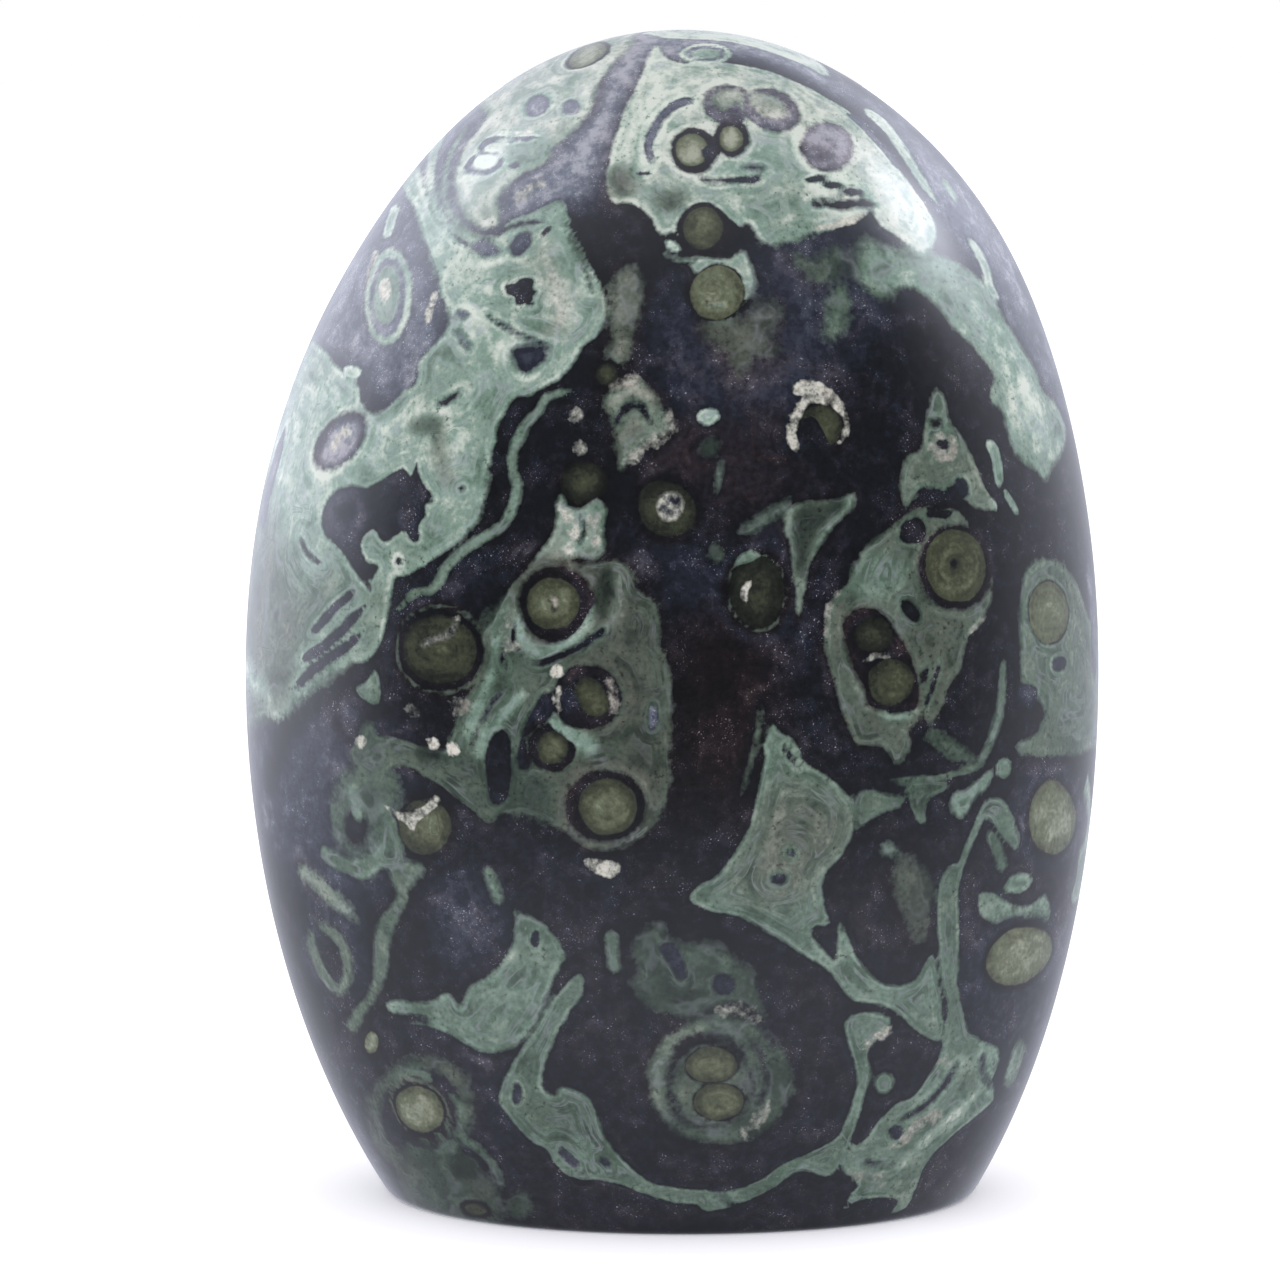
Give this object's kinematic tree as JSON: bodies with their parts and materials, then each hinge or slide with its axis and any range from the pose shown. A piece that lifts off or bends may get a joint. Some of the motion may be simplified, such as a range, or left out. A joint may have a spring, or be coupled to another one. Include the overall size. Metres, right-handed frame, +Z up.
{
  "type": "kambaba jasper freeform",
  "caption": "Polished egg-shaped standing stone of kambaba jasper, dark green-black with pale green webs and olive ring-eyed orbs, cut flat underneath.",
  "frame": {"origin": "in the plane of the sawn flat foot, straight under the middle of the girth", "axes": "+Z up through the crown, the broad face that the picture shows looks along -Y, +X to that face's right as seen"},
  "size_m": [0.0732, 0.055, 0.1],
  "materials": {
    "jasper": "gloss"
  },
  "bodies": {
    "root": {"stone": "jasper"}
  },
  "joints": []
}
